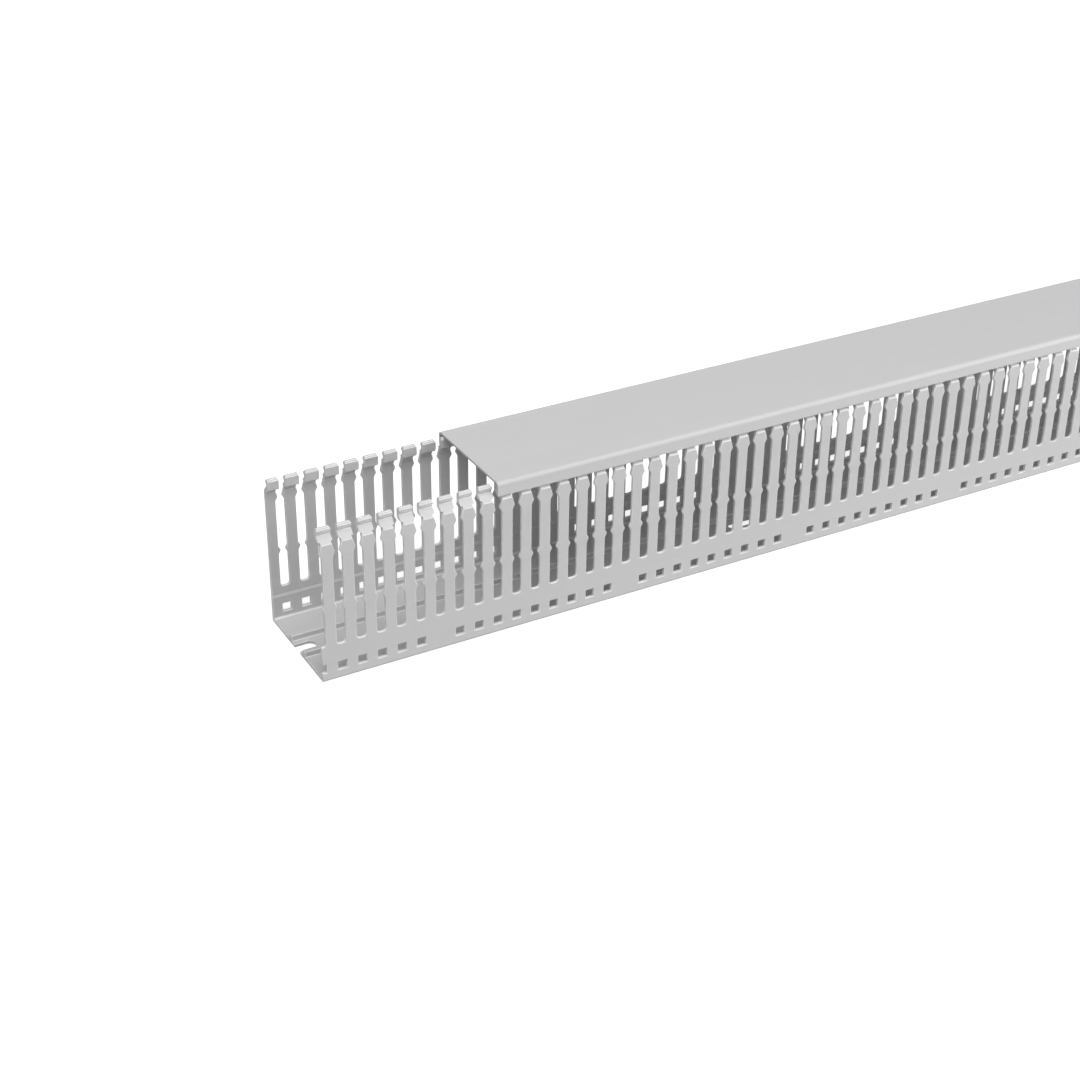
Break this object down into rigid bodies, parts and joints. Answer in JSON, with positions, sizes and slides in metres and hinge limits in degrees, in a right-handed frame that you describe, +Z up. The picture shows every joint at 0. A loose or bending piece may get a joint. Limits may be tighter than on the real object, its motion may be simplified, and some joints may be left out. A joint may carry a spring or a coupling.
{
  "type": "slotted wire duct",
  "caption": "Slotted wire duct: a grey channel with punched finger walls, square wall holes and slotted fixing holes in its base, and a plain clip-on cover that slides along it.",
  "frame": {"origin": "underside of the base, midway along the channel and midway between its walls, at the middle of the line of fixing slots", "axes": "+X along the duct, towards the end where the cover overhangs; +Y across it, towards the far wall; +Z up, from the base to the cover"},
  "size_m": [1.09, 0.06, 0.08],
  "materials": {
    "grey_pvc": "satin"
  },
  "bodies": {
    "channel": {"channel": "grey_pvc"},
    "cover": {"cover": "grey_pvc"}
  },
  "joints": [
    {"name": "cover_slide", "type": "slide", "parent": "channel", "child": "cover", "axis": [1, 0, 0], "range_m": [-0.99, 0.81]}
  ]
}
